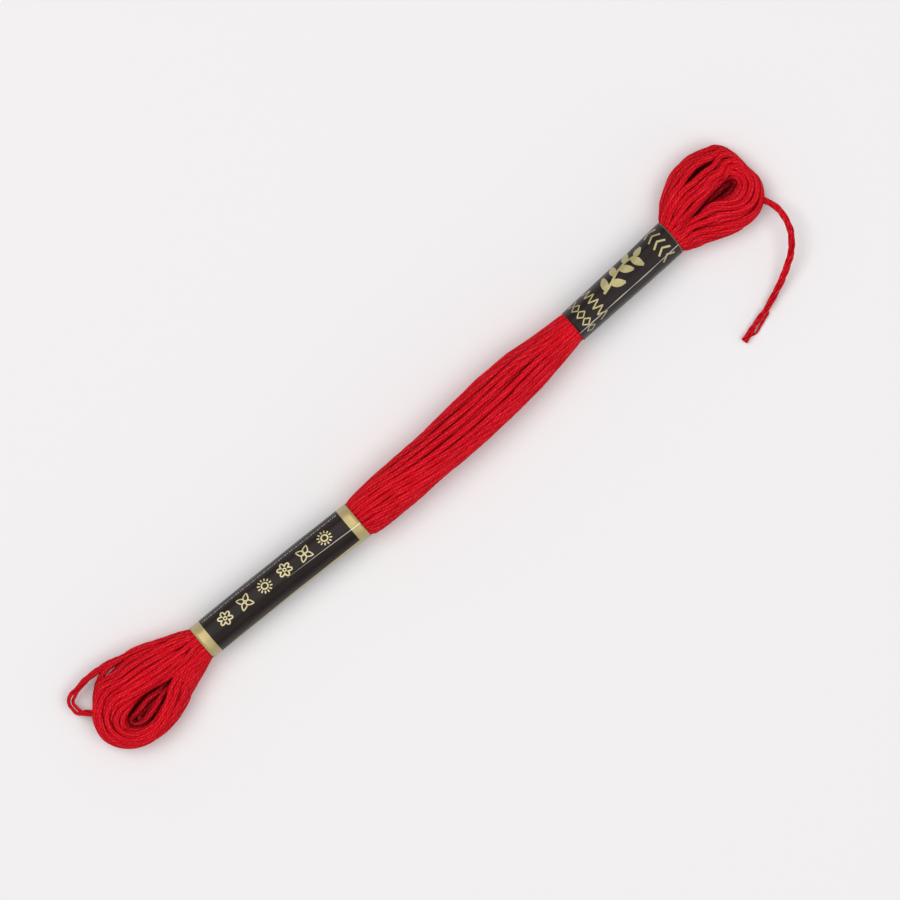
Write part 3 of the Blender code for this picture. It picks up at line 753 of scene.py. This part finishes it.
def thread_tube(mesh, line, pressed, spacing):
    """Adds one floss along the line, thinner where a band grips it."""
    start = int(np.argmin(np.abs(line[:, 0] - SEAM[0]) + 100 * (line[:, 1] < SEAM[1])))
    line = np.roll(line, -start, axis=0)
    line = np.vstack((line, line[:1]))
    length = arc_length(line)
    count = int(length[-1] / spacing)
    at = np.interp(np.linspace(0, length[-1], count + 1), length, np.arange(len(length)))
    fine = catmull(line, np.minimum(at, len(line) - 1.0001))
    wobble = 1 + 0.03 * np.sin(fine[:, 0] * 0.9 + RANDOM.random() * 6)
    wobble += 0.05 * np.sin(fine[:, 0] * 0.31 + RANDOM.random() * 6)
    radius = floss_radius(fine[:, 0], pressed) * wobble
    pitch = TWIST_PITCH * (0.85 + 0.3 * RANDOM.random())
    phase = RANDOM.random() * 2 * np.pi + 0.5 * np.sin(fine[:, 0] * 0.25)
    mesh.add(fine, radius, AROUND, 6, pitch, phase)


def build_turns(material, inner_material):
    turns = settle([twist_bundle(line) for line in lay_turns()])
    outer_a, outer_b, inner = TubeMesh(), TubeMesh(), TubeMesh()
    for k, (line, pressed) in enumerate(zip(turns, pressed_radii())):
        if k >= SHELL_TURNS:
            thread_tube(inner, line, pressed, INNER_STEP)
        else:
            thread_tube((outer_a, outer_b)[k % 2], line, pressed, STEP)
    slack = catmull(SLACK_TURN, np.linspace(0, len(SLACK_TURN) - 1.0001, 200))
    add_strands(outer_b, resample(slack, 0.35), 13.0, SLACK_OPENINGS)
    for obj in (outer_a.build("floss_turns_outer", material),
                outer_b.build("floss_turns_between", material),
                inner.build("floss_turns_inner", inner_material)):
        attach(obj, "root")
        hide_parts("floss_hank")


# -------- loose end
STRAND_R = 0.25
STRANDS_APART = 0.42        # from the middle of the floss to the middle of a strand
YARN_PITCH = 3.0            # length of one turn of the two yarns of a strand
# where strands part from the others: strands, from mm, to mm, sideways, upwards
SLACK_OPENINGS = (((0, 1, 2), 12.6, 19.0, 0.50, 0.1), ((3, 4, 5), 12.6, 19.0, -0.42, -0.1))
END_OPENINGS = (((0,), 22.8, 29.8, -0.88, -0.2), ((1, 2, 3, 4, 5), 22.8, 29.8, 0.12, 0.05))
OPENING_ENDS = 1.6          # length over which the strands part


def round_ends(line, radius):
    """Adds a few points at both ends over which the radius falls to nothing."""
    reach, sizes = radius * np.array(((0.5, 0.85, 1.0), (0.87, 0.53, 0.05)))
    first, last = [tip + np.outer(reach, unit(tip - near))
                   for tip, near in (line[:2], line[:-3:-1])]
    radii = np.concatenate((sizes[::-1], np.full(len(line), radius), sizes))
    return np.vstack((first[::-1], line, last)), radii


def add_strands(mesh, line, pitch, openings):
    """The six strands of a floss, one in the middle of the others."""
    tangent, side, up = frames_along(line)
    length = arc_length(line)
    level = unit(np.column_stack((tangent[:, 1], -tangent[:, 0], np.zeros(len(line)))))
    for k in range(6):
        angle = 2 * np.pi * (k / 5 + length / pitch) + 0.3 * np.sin(length * 0.35 + k)
        reach = STRANDS_APART * (1 + 0.06 * np.sin(length * 0.8 + 2 * k)) * (k < 5)
        reach = reach * (1 + 0.08 * smoothstep(length[-1] - 1.5, length[-1], length))
        strand = (line + (np.cos(angle) * reach)[:, None] * side
                  + (np.sin(angle) * reach)[:, None] * up)
        for strands, start, end, sideways, upwards in openings:
            if k not in strands:
                continue
            share = smoothstep(start, start + OPENING_ENDS, length)
            share = (share * (1 - smoothstep(end - OPENING_ENDS, end, length)))[:, None]
            around = (0.45 if len(strands) < 4 else 0.8) * (strand - line)
            apart = line + around + sideways * level + np.array((0, 0, upwards))
            strand = blend(strand, apart, share)
        strand[:, 2] = np.maximum(strand[:, 2], STRAND_R)
        strand, radius = round_ends(strand, STRAND_R)
        mesh.add(strand, radius, STRAND_AROUND, 2, YARN_PITCH, np.zeros(len(strand)))


def build_loose_end(material):
    fine = catmull(LOOSE_END, np.linspace(0, len(LOOSE_END) - 1.0001, 400))
    inner_start = fine[0] + unit(fine[0] - fine[12]) * 1.1
    line = resample(np.vstack((inner_start, fine)), 0.3)
    mesh = TubeMesh()
    add_strands(mesh, line, 12.0, END_OPENINGS)
    obj = mesh.build("loose_floss_end", material)
    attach(obj, "root")
    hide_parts("loose_end")
    path = resample(line, 1.1)
    float(arc_length(path)[-1]) * MM


# -------- paper bands
def band_point(band, x, angle, lift):
    """Where the paper of a band is in the scene: angle in degrees from the left over
    the top, lift in mm off the paper."""
    table, crease, lean = band
    left, right, top, bottom = columns_at(table, x)
    turn = math.radians(angle)
    across = abs(math.cos(turn)) / ((left - right) / 2)
    upward = abs(math.sin(turn)) / ((top - bottom) / 2)
    radius = (across ** SQUARENESS + upward ** SQUARENESS) ** (-1 / SQUARENESS)
    away = abs((angle - crease + 180) % 360 - 180) / CREASE_HALF_ANGLE
    radius += CREASE_H * max(0.0, 1.0 - away) + lift
    radius += 0.02 * math.sin(turn * 11 + x * 0.21) * math.sin(x * 0.37 + turn * 3)
    y = (left + right) / 2 + radius * math.cos(turn)
    rise = radius * math.sin(turn)
    point = np.array((x + np.interp(x, *lean) * rise, y, (top + bottom) / 2 + rise))
    return (point + SHIFT) * MM


def on_band(band, x, arc, lift):
    """The same for arc mm round the paper to the left of the top line."""
    left, right = columns_at(band[0], x)[0:2]
    return band_point(band, x, 90.0 - math.degrees(arc / ((left - right) / 2)), lift)


def mesh_object(name, bm, materials):
    mesh = bpy.data.meshes.new(name)
    bm.to_mesh(mesh)
    bm.free()
    for material in materials:
        mesh.materials.append(material)
    return link(name, mesh)


BORDER = 156.0          # degrees where the lengthwise stripe begins before it is moved
BORDER_WIDTH = 36.0     # degrees
BORDER_AT = ((-51.0, -19.0), (165.0, 147.0))    # x and x, degrees that it is moved to
LONG_STRIPES = (-51.1, -18.9)   # x where the gold stripes at the ends stop
SHORT_RIM = 59.92               # x where the worn rim beside the loose end's loop begins
BAND_ROWS = 61          # rings of corners along a band
BAND_AROUND = 96        # corners round it
BLACK, GOLD, BARE, RIM = range(4)


def moved_angle(angle, border):
    """Moves the mesh lines of the stripe to border, and those near it a little less."""
    away = max(abs(angle - BORDER - BORDER_WIDTH / 2) - BORDER_WIDTH / 2, 0.0)
    return angle + (border - BORDER) * max(0.0, 1.0 - away / 50.0)


def long_paint(x, angle):
    """Gold stripes at both ends and a gold edge that runs along the right side."""
    plain = LONG_STRIPES[0] <= x <= LONG_STRIPES[1]
    return BLACK if plain and not BORDER < angle < BORDER + BORDER_WIDTH else GOLD


def short_paint(x, angle):
    return RIM if x > SHORT_RIM else BLACK


def build_band(name, node_name, band, paint, edges, border_at, materials):
    """paint(x, angle) gives the material number of a face, edges are the x where it
    changes, border_at is like BORDER_AT."""
    table, crease, _ = band
    columns = np.linspace(table[0][0], table[-1][0], BAND_ROWS)
    columns = sorted(set(np.round(np.append(columns, edges), 4)))
    angles = [k * 360 / BAND_AROUND for k in range(BAND_AROUND)]
    angles = sorted({*angles, crease - 0.9, crease + 0.9, BORDER, BORDER + BORDER_WIDTH})
    bm = bmesh.new()
    outer, inner = [
        [[bm.verts.new(band_point(band, x, moved_angle(angle, np.interp(x, *border_at)), lift))
          for angle in angles] for x in columns] for lift in (0.0, -PAPER)]

    def add(number, *corners):
        bm.faces.new(corners).material_index = number

    around = [(a, (a + 1) % len(angles)) for a in range(len(angles))]
    for c in range(len(columns) - 1):
        for a, b in around:
            middle = (angles[a] + (angles[b] if b else 360.0)) / 2
            add(paint((columns[c] + columns[c + 1]) / 2, middle),
                outer[c][a], outer[c][b], outer[c + 1][b], outer[c + 1][a])
            add(BARE, inner[c][b], inner[c][a], inner[c + 1][a], inner[c + 1][b])
    for a, b in around:
        add(BARE, outer[0][a], inner[0][a], inner[0][b], outer[0][b])
    for a, b in around:
        add(BARE, outer[-1][b], inner[-1][b], inner[-1][a], outer[-1][a])
    bmesh.ops.recalc_face_normals(bm, faces=bm.faces)
    for face in bm.faces:
        face.smooth = True
    obj = mesh_object(name, bm, materials)
    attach(obj, "root")
    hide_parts(node_name)


PRINT_LIFT = 0.025      # how far the print stands off the paper
PRINT_STEP = 0.18       # length of one face of a printed line


def stroke(bm, band, points, width):
    """A raised printed line on a band: points are (x, arc) in mm from the top line."""
    points = [np.array(p, dtype=float) for p in points]
    dense = [points[0]]
    for a, b in zip(points, points[1:]):
        steps = max(1, int(np.linalg.norm(b - a) / PRINT_STEP))
        dense.extend(a + (b - a) * (k + 1) / steps for k in range(steps))
    dense = np.array(dense)
    ahead = np.gradient(dense, axis=0)
    if np.linalg.norm(dense[0] - dense[-1]) < 1e-6:
        ahead[[0, -1]] = dense[1] - dense[-2]
    ahead = unit(ahead)
    across = np.column_stack((-ahead[:, 1], ahead[:, 0])) * width / 2
    rails = [[bm.verts.new(on_band(band, *place, PRINT_LIFT)) for place in pair]
             for pair in zip(dense + across, dense - across)]
    for first, second in zip(rails, rails[1:]):
        bm.faces.new((*first, *second[::-1]))


def print_lines(name, band, lines, material):
    """One piece of print: lines of points, each with its width."""
    bm = bmesh.new()
    for points, width in lines:
        stroke(bm, band, points, width)
    bmesh.ops.recalc_face_normals(bm, faces=bm.faces)
    if sum(face.normal.z for face in bm.faces) < 0:
        bmesh.ops.reverse_faces(bm, faces=bm.faces)
    obj = mesh_object(name, bm, [material])
    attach(obj, "root")


def ring(x, arc, wide, high, waves=0, depth=0.0):
    """A closed outline, round or with waves."""
    line = []
    for k in range(49):
        angle = 2 * math.pi * k / 48
        reach = 1 - depth * (1 - abs(math.sin(waves * angle / 2))) if waves else 1.0
        line.append((x + wide * reach * math.cos(angle), arc + high * reach * math.sin(angle)))
    return line


def rays(x, arc, count, inner, outer):
    """Short straight lines round a middle."""
    angles = [2 * math.pi * k / count for k in range(count)]
    return [[(x + reach * math.cos(angle), arc + reach * math.sin(angle))
             for reach in (inner, outer)] for angle in angles]


def leaf_sides(x, arc, length, width, direction):
    """Both sides of a pointed leaf that starts at (x, arc)."""
    cos, sin = math.cos(direction), math.sin(direction)
    sides = []
    for side in (1, -1):
        line = [(length * k / 12, side * (0.04 + width / 2 * math.sin(math.pi * (k / 12) ** 0.8)))
                for k in range(13)]
        sides.append([(x + u * cos - v * sin, arc + u * sin + v * cos) for u, v in line])
    return sides


def leaf_outline(*leaf):
    left, right = leaf_sides(*leaf)
    return left + right[::-1] + left[:1]


def filled(*leaf):
    """A leaf filled by strokes side by side."""
    sides = list(zip(*leaf_sides(*leaf)))
    return [[(a[0] + (b[0] - a[0]) * share, a[1] + (b[1] - a[1]) * share) for a, b in sides]
            for share in (0.0, 0.25, 0.5, 0.75, 1.0)]


def lozenge(x, arc, wide, high):
    return [(x - wide, arc), (x, arc + high), (x + wide, arc), (x, arc - high), (x - wide, arc)]


def fold_line(band, turn, width_at):
    """The pale line painted along the fold of a band, which it crosses up to turn degrees."""
    table, crease, _ = band
    ends = (table[0][0], table[-1][0])
    line = []
    for x in np.linspace(ends[0] + 0.03, ends[1] - 0.03, 120):
        left, right = columns_at(table, x)[0:2]
        angle = np.interp(x, ends, (crease - 3, crease + turn))
        line.append((x, math.radians(90 - angle) * (left - right) / 2))
    return [([a, b], width_at(a[0])) for a, b in zip(line, line[1:]) if width_at(a[0]) > 0.02]


def long_band_print():
    """Six small outlined ornaments in a row: flower, leaf cross and sun, in turn."""
    lines = []
    for k, x in enumerate(np.linspace(-46.9, -23.6, 6)):
        arc = 0.85 + 0.07 * k
        if k % 3 == 0:
            lines.append((ring(x, arc, 1.45, 1.35, 6, 0.55), 0.28))
            lines.append((ring(x, arc, 0.3, 0.3), 0.22))
        elif k % 3 == 1:
            for turn in range(4):
                direction = math.pi / 4 + turn * math.pi / 2
                lines.append((leaf_outline(x, arc, 1.65, 0.85, direction), 0.24))
        else:
            lines.append((ring(x, arc, 0.62, 0.6), 0.28))
            lines.extend((ray, 0.26) for ray in rays(x, arc, 12, 0.95, 1.45))
    return lines


def long_band_dashes():
    """A fine row of dashes along the rounded left edge."""
    lines = []
    for x in np.arange(-50.6, -19.3, 0.5):
        half = 0.13 + 0.07 * math.sin(x * 5.0)
        arc = np.interp(x, (-53.2, -16.8), (3.25, 3.6))
        lines.append(([(x - half, arc), (x + half, arc)], 0.2))
    return lines


def short_band_print():
    """A leafy sprig between rows of lozenges, zigzags and arrowheads."""
    stem = [(43.9 + 0.36 * k, 1.5 - 0.9 * math.cos(0.2 + k * 0.16)) for k in range(25)]
    lines = [(stem, 0.42)]
    for k in range(2, 24, 4):
        x, arc = stem[k]
        slope = math.atan2(stem[k + 1][1] - arc, stem[k + 1][0] - x)
        turn = 0.95 if k % 8 == 2 else -0.95
        lines.extend((line, 0.3) for line in filled(x, arc, 2.7, 1.1, slope + turn))
    lines.extend((line, 0.3) for line in filled(*stem[-1], 2.0, 0.9, 0.3))
    lines.append(([(40.6 + 1.9 * (k % 2), -2.5 + 0.62 * k) for k in range(13)], 0.24))
    for k in range(6):
        lines.append((lozenge(38.3, -2.3 + 1.45 * k, 0.95, 0.6), 0.22))
        lines.append(([(55.9 + 1.4 * n, -2.6 + 1.5 * k + 0.8 * (n == 1)) for n in range(3)], 0.36))
    return lines


# colour, roughness, metallic, specular, colour painted on the sides of a band as a painted
# reflection, unevenness
PAPERS = {
    "black_paper": ((0.0115, 0.0055, 0.0048), 0.36, 0.0, 0.16, (0.056, 0.051, 0.048), 1.0),
    "gold_print": ((0.435, 0.345, 0.15), 0.4, 0.3, 0.36, (0.46, 0.40, 0.24), 1.6),
    "bright_gold_ink": ((0.52, 0.45, 0.24), 0.4, 0.3, 0.4, (0.5, 0.45, 0.3), 1.2),
    "gold_ink": ((0.41, 0.355, 0.165), 0.4, 0.3, 0.34, (0.46, 0.41, 0.25), 1.6),
    "bare_paper": ((0.42, 0.38, 0.33), 0.8, 0.0, 0.3, (0.42, 0.38, 0.33), 0.5),
    "fold_line": ((0.40, 0.37, 0.33), 0.7, 0.0, 0.3, (0.40, 0.37, 0.33), 0.8),
    "pale_fold_gold": ((0.80, 0.72, 0.52), 0.6, 0.0, 0.3, (0.8, 0.72, 0.52), 0.8),
    "worn_rim": ((0.12, 0.105, 0.065), 0.6, 0.0, 0.3, (0.2, 0.18, 0.13), 1.6),
}


def build_bands():
    black, gold, bright_ink, ink, bare, pale_marks, pale_fold_gold, rim = [
        paper_material(name, *look) for name, look in PAPERS.items()]
    papers = (black, gold, bare, rim)
    build_band("long_paper_band", "long_band", LONG, long_paint,
               LONG_STRIPES, BORDER_AT, papers)
    build_band("short_paper_band", "short_band", SHORT, short_paint,
               SHORT_RIM, ((0.0, 1.0), (BORDER, BORDER)), papers)
    print_lines("gold_print_long", LONG, long_band_print(), bright_ink)
    print_lines("fine_print_long", LONG, long_band_dashes(), pale_marks)
    print_lines("gold_print_short", SHORT, short_band_print(), ink)
    on_black = fold_line(LONG, 6, lambda x: 0.19 * smoothstep(-37.0, -21.0, x) * (x < -19.0))
    print_lines("fold_line_long", LONG, on_black, pale_marks)
    print_lines("fold_line_gold", LONG, fold_line(LONG, 6, lambda x: 0.2 * (x > -19.0)), pale_fold_gold)
    on_short = fold_line(SHORT, 0, lambda x: 0.16 + 0.05 * math.sin(x))
    print_lines("fold_line_short", SHORT, on_short, pale_marks)


# -------- floor, light, camera
# name, place in metres, size in metres, power in watts
LIGHTS = (
    ("softbox_upper_left", (-0.28, 0.50, 1.15), 1.0, 7.5),
    ("softbox_lower_right", (0.30, -0.48, 1.15), 1.0, 5.3),
    ("low_softbox_right", (0.45, -1.00, 0.33), 0.6, 0.7),
)
AIM = (0.00435, -0.00363, 0.0035)   # the middle of the picture, metres
CAMERA_DISTANCE = 1.20              # metres
PICTURE = 900                       # pixels across
PIXEL = 0.000183                    # metres on the table that one pixel shows
SENSOR = 36.0                       # mm


def build_stage():
    bpy.ops.mesh.primitive_plane_add(size=3.0, location=(0, 0, -0.00001))
    floor = bpy.context.object
    floor.name = "floor"
    floor.data.materials.append(Nodes("pale_floor").shade({
        "Base Color": (0.868, 0.852, 0.858, 1), "Roughness": 0.9, "Specular IOR Level": 0.1}))

    world = bpy.data.worlds.new("studio")
    bpy.context.scene.world = world
    world.use_nodes = True
    background = world.node_tree.nodes["Background"].inputs
    background["Color"].default_value = (1, 1, 1, 1)
    background["Strength"].default_value = 0.40
    for name, place, size, power in LIGHTS:
        data = bpy.data.lights.new(name, "AREA")
        data.shape = "DISK"
        data.size = size
        data.energy = power
        light = link(name, data)
        light.location = place
        light.rotation_euler = (-Vector(place)).to_track_quat("-Z", "Y").to_euler()


def build_camera():
    """Straight above, turned so that the skein runs 40 degrees up to the right."""
    data = bpy.data.cameras.new("camera")
    camera = link("camera", data)
    camera.location = (AIM[0], AIM[1], AIM[2] + CAMERA_DISTANCE)
    camera.rotation_euler = (0.0, 0.0, math.radians(-40.0))
    data.sensor_width = SENSOR
    data.lens = SENSOR * CAMERA_DISTANCE / (PICTURE * PIXEL)
    data.clip_start = 0.01
    data.clip_end = 10.0
    bpy.context.scene.camera = camera


def main():
    bpy.context.scene.view_settings.view_transform = "Standard"
    build_camera()
    # all three floss materials get painted crevice shade: the inner turns a stronger and wider one,
    # the loose end's strands a weaker one
    floss = floss_material("red_cotton", 6, 0.0028, 1.15)
    inside_shaded = floss_material("red_cotton_inside_shaded", 6, 0.0050, 1.65)
    strand = floss_material("red_cotton_strand", 2, 0.0028, 0.6)
    build_loose_end(strand)
    build_turns(floss, inside_shaded)
    build_bands()
    build_stage()


main()
